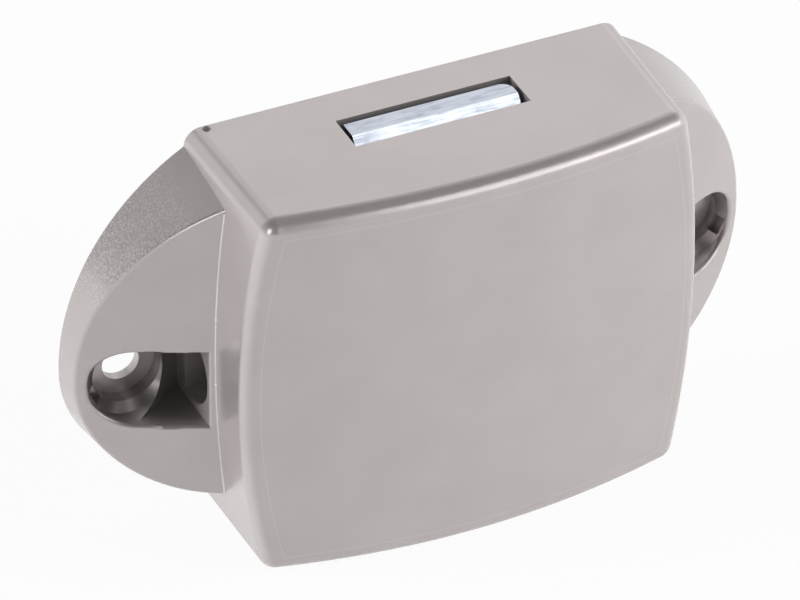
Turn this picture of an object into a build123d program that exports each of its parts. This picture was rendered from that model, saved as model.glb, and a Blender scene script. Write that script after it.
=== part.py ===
from build123d import *
import math
import os

# Push-button rim lock for a cabinet door, in millimetres.
# The door is the plane y = 0, and the case stands off it towards -Y.
# The origin is where the push-button axis meets the door; the bolt leaves upwards, along +Z.

# Block of the case
body_width = 44.0        # across the sides, at the door
body_top = 23.5          # button axis up to the bolt face
body_bottom = 16.5       # button axis down to the bottom face
edge_depth = 16.5        # door to the cover's side edges
crown = 2.5              # bulge of the cover between its side edges
corner_inset = 1.1       # how much narrower each side is at the cover's corners
side_bow = 2.6           # barrel of the cover's side edges
end_bow = 0.3            # barrel of the cover's top and bottom edges
corner_radius = 1.7      # edges that run from the door to the cover
cover_radius = 1.5       # rounded edge all round the cover
wall = 2.0               # moulded wall

# Fixing ears
screw_spacing = 58.0     # between the two screw axes
ear_end = 5.75           # screw axis to the tip of the ear
ear_top_step = 1.7       # the ear's outline starts this far below the bolt face
ear_bottom_step = 3.0    # and ends this far above the bottom face
ear_root = 9.7           # thickness of the ear where it ends inside the block's wall
ear_at_screw = 5.6       # thickness on the screw axis
ear_tip = 2.6            # thickness at the tip
ear_draft = 8.0          # draft of the ear's rim, in degrees
ear_edge = 0.45          # rounding of the ear's rim edge
ear_wall = 1.8           # wall left where the ear is cored from behind

# Screw pockets
screw_hole = 3.7         # diameter through the floor
pocket_floor = 1.0       # floor under the screw head
head_bore = 6.8          # diameter of the cup for the screw head
seat_height = 2.4        # where the cup begins to flare, above the door
pocket_width = 8.4       # width of the pocket at its mouth
pocket_end = 1.2         # end wall of the pocket, beyond the side of the block
mouth_edge = 0.35        # rounding of the pocket's mouth, where the ear leaves room for it
relief_low = 1.0         # floor of the relief at the end wall
relief_high = 5.0        # the same floor carried on to the screw axis
notch_width = 1.8        # small notch through the flare, on the outer side
notch_depth = 0.6        # across the flare
notch_floor = 2.0        # floor of the notch, above the door
notch_angle = 24.0       # the notch's direction from the screw axis, below level, in degrees
pocket_wall = 1.0        # wall round the pocket, seen from behind
window_width = 7.4       # arched window from the pocket into the block
window_sill = 2.6        # lower edge of the window, above the door
window_top = 7.8         # crown of the window's arch

# Base plate
plate_thickness = 1.6
plate_lip = 1.0          # wall of the case left round the plate
plate_gap = 0.15         # clearance round the plate
hook_width = 4.6
hook_thickness = 1.3
hook_height = 6.0        # tip of the hook, above the door
hook_catch = 0.9         # how far the catch reaches into the window
collar_height = 3.4      # guide collar's end, above the door
collar_wall = 1.0

# Plunger, which carries the push button
stroke = 8.0             # travel of the plunger, and of the bolt
stem_width = 11.0
stem_reach = 6.0         # stem standing out behind the door face at rest
stem_radius = 1.5
guide_gap = 0.15         # sliding clearance of the stem
head_width = 13.0        # shoulder that stops against the collar
end_gap = 0.45           # room left at the end of the stroke
stop_gap = 0.05          # room left at the shoulder
socket_bore = 7.0        # bore for the button's spindle
socket_depth = 7.0
web = 1.4                # web between the socket and the spring bore

# Push-and-hold track in the plunger and its wire follower
lane_pitch = 2.6         # between the way in and the way back
track_depth = 1.2
wire = 1.0               # follower's wire diameter
lane_gap = 0.2           # clearance of the wire in its lane
pivot_drop = 12.0        # follower's pivot below the button axis
pivot_gap = 0.05         # running clearance of the pivot
hold_back = 1.1          # plunger springs back this far to its held place
arm_bend = 0.9           # bend radius in the wire
boss_wall = 1.3

# Return spring
spring_wire = 0.7
spring_coils = 6
spring_sides = 6         # sides of the wire's section, which keep the coil's facets few
spring_outer = 6.4
spring_bore_gap = 0.4
spring_post = 3.6        # diameter of the post inside the spring
spring_post_height = 3.4

# Bolt
bolt_width = 16.7
bolt_thickness = 3.5
bolt_front = 8.5         # front face of the bolt, above the door
bolt_land = 1.9          # flat left at the bolt's end, behind its bevel
bolt_bevel = 1.6         # height of the bevel
bolt_edge = 1.2          # rolled edge along one side of the bar
slot_width = 17.6
slot_back = 4.25         # back edge of the bolt slot, above the door
slot_front = 8.7         # front edge of the bolt slot
rivet = 2.4              # diameter of the shank
rivet_head = 3.8
rivet_head_height = 0.6
rivet_pitch = 8.4
washer = 4.4             # washer under the rivet's closed end
washer_thickness = 0.5
fit_gap = 0.02           # clearance of a pin or rivet in its hole, on the radius

# Slider, which carries the bolt
cheek_thickness = 2.4
cheek_gap = 0.5          # between the plunger's head and the cheeks
slider_gap = 0.4         # between the slider and the case
arm_width = 3.3          # slanted arm each side of its slot's centre line
drive_pin = 2.4          # pins on the plunger that run in the slanted slots
slot_gap = 0.1           # clearance of a pin in its slot
pin_inset = 2.3          # how deep a pin is pressed into the plunger
bridge_thickness = 3.0
recess_gap = 0.1         # round the washer in its recess
seat_step = 0.6          # ledge of the slider under the bolt
guide_rib = 1.5

# Worked out from the sizes above
half_body = body_width / 2
case_depth = edge_depth + crown
screw_x = screw_spacing / 2
ear_x = screw_x + ear_end
ear_start = half_body - wall
ear_rises = (body_top - ear_top_step, -body_bottom + ear_bottom_step)
cover_half = half_body - corner_inset
crown_r = (cover_half ** 2 + crown ** 2) / (2 * crown)
cover_inside = case_depth - wall
pocket_r = pocket_width / 2
pocket_x = half_body + pocket_end
flare_top = seat_height + (pocket_width - head_bore) / 2
rim_room = ear_end - pocket_r - ear_edge - ear_tip * math.tan(math.radians(ear_draft))
mouth_height = ear_at_screw - (ear_at_screw - ear_tip) * pocket_r / ear_end - flare_top
mouth_room = min(rim_room, 2 * mouth_height)
head_half = head_width / 2
stem_half = stem_width / 2
collar_hole = stem_width + 2 * guide_gap
cheek_in = head_half + cheek_gap
cheek_out = cheek_in + cheek_thickness
cheek_face = cover_inside - cheek_out ** 2 / (2 * crown_r) - slider_gap
cheek_back = plate_thickness + slider_gap
pin_y = (cheek_back + cheek_face - stroke) / 2
head_back = collar_height + stop_gap
head_front = cover_inside - stroke - end_gap
wire_y = head_front - wire / 2 - lane_gap  # the follower's arm, just inside the plunger's front end
bolt_back = bolt_front - bolt_thickness
bridge_back = bolt_back - bridge_thickness
bridge_top = body_top - wall - slider_gap - stroke
bolt_foot = head_half + slider_gap + seat_step + slider_gap
rivet_z = (bolt_foot + bridge_top) / 2
recess_depth = washer_thickness + rivet_head_height
spring_bore = spring_outer + 2 * spring_bore_gap
spring_seat = socket_depth - stem_reach + web
reach = 4 * case_depth   # long enough for any cut

DOOR = Plane.XZ          # drawn in x and z; thickness grows away from the door


def above_door(height):
    """The drawing plane at a height above the door."""
    return DOOR.offset(height)


def prism(outline, low, high):
    """An outline in x and z, as a solid between two heights above the door."""
    return extrude(above_door(low) * outline, amount=high - low)


def upright(outline, half):
    """An outline in x and y, as a solid between z = -half and z = half."""
    return extrude(Plane.XY * outline, amount=half, both=True)


def sideways(outline, low, high):
    """An outline in y and z, as a solid between two values of x."""
    return extrude(Plane.YZ.offset(low) * outline, amount=high - low)


def rod(diameter, x, z, low, high):
    """A round bar square to the door, between two heights above it."""
    return prism(Pos(x, z) * Circle(diameter / 2), low, high)


def block_outline(inset, radius, narrowing, bow_x, bow_z):
    """Outline of the block, drawn in from its outside by the inset."""
    half = half_body - narrowing - inset
    high = body_top - inset
    low = -body_bottom + inset
    middle = (high + low) / 2
    if bow_x:
        right = ThreePointArc((half, low), (half + bow_x, middle), (half, high))
        left = ThreePointArc((-half, high), (-half - bow_x, middle), (-half, low))
        top = ThreePointArc((half, high), (0, high + bow_z), (-half, high))
        bottom = ThreePointArc((-half, low), (0, low - bow_z), (half, low))
    else:
        right = Line((half, low), (half, high))
        left = Line((-half, high), (-half, low))
        top = Line((half, high), (-half, high))
        bottom = Line((-half, low), (half, low))
    outline = make_face(right + top + left + bottom)
    return fillet(outline.vertices(), radius) if radius else outline


def block(inset, radius):
    """The block from the door to its crowned cover, drawn in by the inset."""
    at_door = above_door(0) * block_outline(inset, radius, 0, 0, 0)
    at_cover = above_door(case_depth) * block_outline(inset, radius, corner_inset, side_bow, end_bow)
    form = loft(Sketch() + [at_door, at_cover], ruled=True)
    return form & Pos(0, crown_r - case_depth, 0) * Cylinder(crown_r - inset, reach)


def ear_half(rise, inset):
    """One half of the right ear's drafted rim: a cone from the tip to the block's corner at the rise."""
    span = ear_x - half_body
    height = ear_root + wall
    shrink = height * math.tan(math.radians(ear_draft))
    radius = (span ** 2 + rise ** 2) / (2 * span)
    cone = Cone(radius - inset, radius - inset - shrink, height)
    half = Pos(0, 0, math.copysign(reach / 2, rise)) * Box(2 * reach, 2 * reach, reach)
    return Pos(ear_x - radius, -height / 2, 0) * Rot(90, 0, 0) * cone & half


def ear_section(drop):
    """The ear seen along the block: its face falls in an arc from the block's wall to the tip."""
    face = ThreePointArc(
        (ear_start, drop - ear_root), (screw_x, drop - ear_at_screw), (ear_x, drop - ear_tip))
    back = Polyline((ear_x, drop - ear_tip), (ear_x, 0), (ear_start, 0), (ear_start, drop - ear_root))
    return make_face(face + back)


def pocket():
    """The space of the right ear's screw pocket: screw hole, flared cup, and a relief towards the block."""
    half_cup = Polyline(
        (0, -pocket_floor), (head_bore / 2, -pocket_floor), (head_bore / 2, -seat_height),
        (pocket_r, -flare_top), (pocket_r, -reach), (0, -reach), (0, -pocket_floor))
    cup = Pos(screw_x, 0, 0) * revolve(make_face(half_cup), Axis.Y)
    relief = Polyline(
        (screw_x, -relief_high), (pocket_x, -relief_low), (pocket_x, -reach), (screw_x, -reach),
        (screw_x, -relief_high))
    return cup + upright(make_face(relief), pocket_r) + rod(screw_hole, screw_x, 0, -wall, reach)


def notch():
    """The notch in the flare of the right pocket, open to the cup."""
    outer = head_bore / 2 + notch_depth
    spot = Pos(outer / 2, 0) * Rectangle(outer, notch_width)
    return prism(Pos(screw_x, 0) * Rot(0, 0, -notch_angle) * spot, notch_floor, ear_root)


def ear():
    """The right ear before its pocket is cut and it is cored from behind."""
    section = upright(ear_section(0), reach)
    form = Part()
    for rise in ear_rises:
        half = ear_half(rise, 0) & section
        rim = half.faces().filter_by(GeomType.CONE)[0]
        face = half.faces().filter_by(GeomType.CYLINDER).sort_by(SortBy.AREA)[-1]
        form += fillet(rim.edges().filter_by(lambda edge: edge in face.edges()), ear_edge)
    return form


def ear_core():
    """The hollows behind the right ear, above and below the screw pocket."""
    form = Part() + [ear_half(rise, ear_wall) for rise in ear_rises]
    form &= upright(ear_section(ear_wall), reach)
    keep = pocket_r + pocket_wall
    post = Circle(keep) + Pos(-screw_x / 2, 0) * Rectangle(screw_x, 2 * keep)
    return form - prism(Pos(screw_x, 0) * post, -wall, reach) - block(0, corner_radius)


def window():
    """The arched window from the right pocket into the block."""
    half = window_width / 2
    spring_line = window_top - half
    arch = Pos(-spring_line, 0) * Circle(half)
    arch += Pos(-spring_line / 2, 0) * Rectangle(spring_line, window_width)
    above_sill = Pos(-window_sill - half, 0) * Rectangle(window_width, window_width)
    return sideways(arch & above_sill, half_body - wall - hook_catch, pocket_x)


def round_mouths(case):
    """The case with the mouths of its pockets rounded, where the ears leave room for it."""
    ear_faces = case.faces().filter_by(GeomType.CYLINDER)
    mouths = [edge for face in ear_faces for wire in face.inner_wires() for edge in wire.edges()]
    return fillet(mouths, mouth_edge) if mouths and mouth_room > mouth_edge else case


def both_sides(solid):
    """A solid of the right side together with its mirror image."""
    return solid + mirror(solid, about=Plane.YZ)


def on_side(solid, side):
    """A solid of the right side, put on the side that is named."""
    return mirror(solid, about=Plane.YZ) if side == "left" else solid


def make_case():
    """The moulded case: block, ears, hollow, pockets, bolt slot and inner posts."""
    outside = block(0, corner_radius)
    cover = outside.faces().sort_by(Axis.Y)[0]
    outside = fillet(cover.edges(), cover_radius)
    case = outside + both_sides(ear())
    case -= block(wall, 0)
    case -= prism(block_outline(plate_lip, corner_radius, 0, 0, 0), 0, plate_thickness)
    case -= both_sides(ear_core())
    for turn in (0, 180):
        case -= Rot(0, turn, 0) * pocket()
    case = round_mouths(case)
    case -= both_sides(window())
    case -= both_sides(notch())
    slot_middle = (slot_back + slot_front) / 2
    slot = Box(slot_width, slot_front - slot_back, 4 * wall)
    case -= Pos(0, -slot_middle, body_top) * slot
    # Ribs that keep the slider upright, the spring's post and the follower's boss
    rib_x = cheek_out + slider_gap + guide_rib / 2
    rib_low = -body_bottom + wall
    rib_high = bridge_top
    rib_middle = Pos(rib_x, (rib_low + rib_high) / 2)
    rib = prism(rib_middle * Rectangle(guide_rib, rib_high - rib_low), cheek_back, case_depth - wall / 2)
    boss = wire + 2 * boss_wall
    inner = both_sides(rib)
    inner += rod(spring_post, 0, 0, cover_inside - spring_post_height, case_depth - wall / 2)
    inner += rod(boss, 0, -pivot_drop, wire_y + arm_bend + slider_gap, case_depth - wall / 2)
    inner -= rod(wire + 2 * pivot_gap, 0, -pivot_drop, 0, cover_inside - wall + pivot_gap)
    return case + inner


def make_base_plate():
    """The plate that closes the case against the door, with its guide collar and two hooks."""
    outline = block_outline(plate_lip + plate_gap, corner_radius, 0, 0, 0)
    plate = prism(outline, 0, plate_thickness)
    collar = RectangleRounded(
        collar_hole + 2 * collar_wall, collar_hole + 2 * collar_wall, stem_radius + collar_wall)
    plate += prism(collar, plate_thickness, collar_height)
    opening = RectangleRounded(collar_hole, collar_hole, stem_radius)
    plate -= prism(opening, -wall, reach)
    # Hooks that spring into the windows
    face = half_body - wall - plate_gap
    side = Polyline(
        (face - hook_thickness, -plate_thickness), (face, -plate_thickness), (face, -window_sill),
        (face + hook_catch, -window_sill - plate_gap), (face, -hook_height),
        (face - hook_thickness, -hook_height), (face - hook_thickness, -plate_thickness))
    plate += both_sides(upright(make_face(side), hook_width / 2))
    # Post that keeps the follower in its boss
    post = wire + 2 * boss_wall
    post_end = wire_y - wire / 2 - slider_gap
    return plate + rod(post, 0, -pivot_drop, plate_thickness, post_end)


def make_plunger():
    """The plunger: square stem, stop shoulder, spindle socket, spring bore and hold track."""
    stem = RectangleRounded(stem_width, stem_width, stem_radius)
    head = RectangleRounded(head_width, head_width, stem_radius)
    body = prism(stem, -stem_reach, head_back) + prism(head, head_back, head_front)
    body -= rod(socket_bore, 0, 0, -stem_reach, socket_depth - stem_reach)
    body -= rod(spring_bore, 0, 0, spring_seat, head_front)
    pin_hole = Circle(drive_pin / 2 + fit_gap)
    seat = sideways(Pos(-pin_y, 0) * pin_hole, head_half - pin_inset, head_half)
    body -= both_sides(seat)
    return body - hold_track()


def hold_track():
    """The space of the heart-shaped hold track in the underside of the plunger."""
    lane = wire / 2 + lane_gap
    half = lane_pitch / 2 + lane
    entry = wire_y
    end = entry - stroke - lane
    field = Pos(0, -(head_front + end) / 2) * Rectangle(2 * half, head_front - end)
    # The heart between the lanes: a point towards the way in and a catch towards the end
    flank = lane_pitch / 2 - lane
    catch = entry - stroke + hold_back + wire / 2
    horn = catch - wire / 2
    point = entry - wire - 2 * lane
    heart = Polyline(
        (0, -point), (flank, -point + lane_pitch / 2), (flank, -horn), (0, -catch), (-flank, -horn),
        (-flank, -point + lane_pitch / 2), (0, -point))
    floor = -stem_half + track_depth
    shape = field - make_face(heart)
    return extrude(Plane.XY.offset(-head_half) * shape, amount=floor + head_half)


def make_drive_pin(side):
    """A steel pin pressed into one side of the plunger's head."""
    pin = sideways(Pos(-pin_y, 0) * Circle(drive_pin / 2), head_half - pin_inset, cheek_out)
    return on_side(pin, side)


def make_follower():
    """The bent wire that rides in the hold track."""
    y = -wire_y
    lane = -lane_pitch / 2
    tip = -stem_half + track_depth - lane_gap
    knee = -(pivot_drop + head_half) / 2
    path = FilletPolyline(
        (0, -cover_inside + wall, -pivot_drop), (0, y, -pivot_drop), (lane, y, knee), (lane, y, tip),
        radius=arm_bend)
    section = Plane(origin=path @ 0, z_dir=path % 0) * Circle(wire / 2)
    return sweep(section, path=path)


def make_plunger_spring():
    """The return spring between the cover and the plunger's web."""
    cover_fall = spring_outer ** 2 / (8 * crown_r)
    low = spring_seat + spring_wire / 2
    high = cover_inside - cover_fall - stop_gap - spring_wire / 2
    mean = (spring_outer - spring_wire) / 2
    coil = Helix(pitch=(high - low) / spring_coils, height=high - low, radius=mean)
    section = Plane(origin=coil @ 0, z_dir=coil % 0) * RegularPolygon(spring_wire / 2, spring_sides)
    return above_door(low) * sweep(section, path=coil, is_frenet=True)


def make_slider():
    """The slider: a bridge behind the bolt and two cheeks with slanted drive slots."""
    lean = arm_width * math.sqrt(2)
    shelf = bolt_foot - slider_gap
    foot = -stroke - arm_width
    cheek = Polyline(
        (-cheek_back, bridge_top), (-bolt_back, bridge_top), (-bolt_back, shelf), (-bolt_front, shelf),
        (-cheek_face, shelf - cheek_face + bolt_front), (-cheek_face, foot),
        (-pin_y - stroke + lean - arm_width, foot), (-cheek_back, pin_y - cheek_back - lean),
        (-cheek_back, bridge_top))
    half = stroke / 2
    track = SlotCenterToCenter(stroke * math.sqrt(2), drive_pin + 2 * slot_gap)
    track = Pos(-pin_y - half, -half) * Rot(0, 0, 45) * track
    arm = sideways(make_face(cheek) - track, cheek_in, cheek_out)
    bridge_low = shelf - seat_step
    bridge = Pos(0, (bridge_low + bridge_top) / 2) * Rectangle(2 * cheek_out, bridge_top - bridge_low)
    slider = both_sides(arm) + prism(bridge, bridge_back, bolt_back)
    recess = washer + 2 * recess_gap
    hole = rod(rivet + 2 * fit_gap, rivet_pitch / 2, rivet_z, bridge_back, bolt_back)
    hole += rod(recess, rivet_pitch / 2, rivet_z, bridge_back, bridge_back + recess_depth)
    return slider - both_sides(hole)


def make_bolt():
    """The bolt: a steel bar with a bevelled end, flush with the bolt face when drawn back."""
    middle = (bolt_back + bolt_front) / 2
    bar = Pos(0, -middle) * Rectangle(bolt_width, bolt_thickness)
    bar = fillet(bar.vertices().sort_by(Axis.X)[-2:], bolt_edge)
    bolt = extrude(Plane.XY.offset(bolt_foot) * bar, amount=body_top - bolt_foot)
    land = -bolt_back - bolt_land
    bevel = Polyline(
        (land, body_top), (-bolt_front, body_top), (-bolt_front, body_top - bolt_bevel), (land, body_top))
    bolt -= sideways(make_face(bevel), -bolt_width, bolt_width)
    return bolt - both_sides(rod(rivet + 2 * fit_gap, rivet_pitch / 2, rivet_z, bolt_back, bolt_front))


def make_rivet(side):
    """A rivet that holds the bolt on its slider, with a head at each end."""
    x = rivet_pitch / 2
    closed = bridge_back + recess_depth - washer_thickness
    body = rod(rivet, x, rivet_z, closed - rivet_head_height, bolt_front + rivet_head_height)
    body += rod(rivet_head, x, rivet_z, closed - rivet_head_height, closed)
    body += rod(rivet_head, x, rivet_z, bolt_front, bolt_front + rivet_head_height)
    return on_side(body, side)


def make_washer(side):
    """The washer between a rivet's closed end and the slider."""
    x = rivet_pitch / 2
    top = bridge_back + recess_depth
    ring = rod(washer, x, rivet_z, top - washer_thickness, top)
    ring -= rod(rivet + 2 * fit_gap, x, rivet_z, top - washer_thickness, top)
    return on_side(ring, side)


os.makedirs("parts", exist_ok=True)
SINGLE_PIECES = {
    "case": make_case,
    "base_plate": make_base_plate,
    "plunger": make_plunger,
    "plunger_spring": make_plunger_spring,
    "hold_follower": make_follower,
    "bolt_slider": make_slider,
    "bolt": make_bolt,
}
PAIRED_PIECES = {
    "drive_pin": make_drive_pin,
    "bolt_rivet": make_rivet,
    "rivet_washer": make_washer,
}
for name, make in SINGLE_PIECES.items():
    export_step(make(), f"parts/{name}.step")
for name, make in PAIRED_PIECES.items():
    for side in ("left", "right"):
        export_step(make(side), f"parts/{name}_{side}.step")
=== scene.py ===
"""Dressed scene of a push-button rim lock for a cabinet door.

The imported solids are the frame. This script gives them their finishes, makes the wire parts and the
small turned parts as smooth meshes, and sets up the stage, the light and the camera. Named lengths are
in millimetres; meshes are in metres, in the frame's own axes.
"""

import logging
import math
from dataclasses import dataclass, field
from enum import Enum

import bmesh
import bpy
from mathutils import Matrix, Vector


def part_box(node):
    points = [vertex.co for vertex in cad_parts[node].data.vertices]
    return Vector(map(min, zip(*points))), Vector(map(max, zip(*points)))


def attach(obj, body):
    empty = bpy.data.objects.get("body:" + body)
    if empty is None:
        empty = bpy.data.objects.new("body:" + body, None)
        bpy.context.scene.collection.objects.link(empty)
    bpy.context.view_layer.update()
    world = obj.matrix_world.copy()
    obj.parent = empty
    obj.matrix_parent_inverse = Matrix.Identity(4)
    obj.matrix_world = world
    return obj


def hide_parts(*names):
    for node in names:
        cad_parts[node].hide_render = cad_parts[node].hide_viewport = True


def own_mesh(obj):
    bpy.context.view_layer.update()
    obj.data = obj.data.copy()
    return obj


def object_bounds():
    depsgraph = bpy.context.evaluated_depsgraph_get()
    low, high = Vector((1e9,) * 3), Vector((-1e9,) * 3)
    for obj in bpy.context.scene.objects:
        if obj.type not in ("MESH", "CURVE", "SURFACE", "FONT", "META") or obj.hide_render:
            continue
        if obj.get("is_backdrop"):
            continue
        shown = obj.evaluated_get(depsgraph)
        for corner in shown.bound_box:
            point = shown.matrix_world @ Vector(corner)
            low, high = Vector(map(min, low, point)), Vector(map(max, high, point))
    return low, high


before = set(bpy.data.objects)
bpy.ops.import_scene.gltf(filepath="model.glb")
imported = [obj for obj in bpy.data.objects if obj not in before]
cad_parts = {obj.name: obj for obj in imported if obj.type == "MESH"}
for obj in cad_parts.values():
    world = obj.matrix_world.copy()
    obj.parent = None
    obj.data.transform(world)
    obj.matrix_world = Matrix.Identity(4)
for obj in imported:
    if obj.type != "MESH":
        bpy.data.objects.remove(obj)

LOG = logging.getLogger("rim_lock")
MM = 0.001
BUMP_DEPTH = 0.02
FULL_METAL = 1.0
BEND_STEPS = 10
WIRE_SIDES = 20
COIL_STEPS = 400
COIL_SIDES = 14

Point = tuple[float, float, float]
Colour = tuple[float, float, float]
Pair = tuple[float, float]
Range = tuple[float, float]
Piece = bpy.types.Object
Socket = bpy.types.NodeSocket
Outputs = bpy.types.NodeOutputs


class Body(Enum):
    """The rigid bodies of the lock that a piece can ride on."""

    CASE = "lock_case"
    PLUNGER = "plunger_group"
    BOLT = "bolt_group"
    FOLLOWER = "follower"


class Reach(Enum):
    """What a lamp lights: everything, only the matt part of a surface, or only its gloss."""

    ALL = "all"
    MATT = "matt"
    GLOSS = "gloss"


class Slot(Enum):
    """Names of material slots; nothing in the script uses them."""

    CASE = "case_plastic"
    ZINC = "zinc_steel"
    WIRE = "spring_steel"


def metres(point: Point) -> Vector:
    """A point in millimetres as a vector in metres."""
    return Vector(point) * MM


def link(name: str, data: bpy.types.ID) -> Piece:
    """A new object in the scene.

    Args:
        name: the object's name.
        data: its mesh, curve, light or camera.

    Returns:
        The linked object.
    """
    obj = bpy.data.objects.new(name, data)
    bpy.context.scene.collection.objects.link(obj)
    return obj


def dress(obj: Piece, material: bpy.types.Material) -> Piece:
    """Gives an object one material.

    Args:
        obj: the object.
        material: its only material.

    Returns:
        The same object.
    """
    obj.data.materials.clear()
    obj.data.materials.append(material)
    return obj


class NodeGraph:
    """A small helper that adds nodes to a tree and joins them by socket name."""

    def __init__(self, tree: bpy.types.NodeTree) -> None:
        """Keeps the tree that nodes are added to."""
        self.tree = tree

    def add(self, kind: str, settings: dict | None = None, **inputs: object) -> bpy.types.Node:
        """Adds one node.

        Args:
            kind: the node's type name.
            settings: properties of the node itself.
            **inputs: a value or a socket for each named input; an underscore stands for a space.

        Returns:
            The new node.
        """
        node = self.tree.nodes.new(kind)
        for key, value in (settings or {}).items():
            setattr(node, key, value)
        for key, value in inputs.items():
            self.set(node.inputs[key.replace("_", " ")], value)
        return node

    def fill(self, kind: str, settings: dict, entries: dict[int, object]) -> bpy.types.Node:
        """Adds one node whose inputs are given by number.

        Args:
            kind: the node's type name.
            settings: properties of the node itself.
            entries: a value or a socket for each input.

        Returns:
            The new node.
        """
        node = self.add(kind, settings)
        for index, value in entries.items():
            self.set(node.inputs[index], value)
        return node

    def set(self, socket: Socket, value: object) -> None:
        """Joins a socket to another one, or gives it a value.

        Args:
            socket: the input.
            value: the socket to join it to, or its value.
        """
        if isinstance(value, bpy.types.NodeSocket):
            self.tree.links.new(value, socket)
        else:
            socket.default_value = value

    def math(self, operation: str, *values: object) -> Socket:
        """A math node on the values, and its result."""
        return self.fill("ShaderNodeMath", {"operation": operation}, dict(enumerate(values))).outputs[0]

    def vector(self, operation: str, first: object, second: object) -> Socket:
        """A vector math node on two vectors, and its result."""
        return self.fill("ShaderNodeVectorMath", {"operation": operation}, {0: first, 1: second}).outputs[0]

    def mix(self, factor: object, low: object, high: object) -> Socket:
        """A colour between two, by a factor."""
        return self.fill("ShaderNodeMix", {"data_type": "RGBA"}, {0: factor, 6: low, 7: high}).outputs[2]

    def between(self, factor: object, low: object, high: object) -> Socket:
        """A number between two, by a factor."""
        return self.fill("ShaderNodeMix", {"data_type": "FLOAT"}, {0: factor, 2: low, 3: high}).outputs[0]

    def spread(self, value: object, band: Range, start: float, end: float) -> Socket:
        """A number that goes smoothly from start to end as the value crosses the band."""
        entries = dict(enumerate((value, *band, start, end)))
        return self.fill("ShaderNodeMapRange", {"interpolation_type": "SMOOTHSTEP"}, entries).outputs[0]

    def millimetres(self) -> Socket:
        """The place on the object, in millimetres."""
        place = self.add("ShaderNodeTexCoord").outputs["Object"]
        return self.add("ShaderNodeMapping", Vector=place, Scale=(1 / MM, 1 / MM, 1 / MM)).outputs[0]


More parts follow.
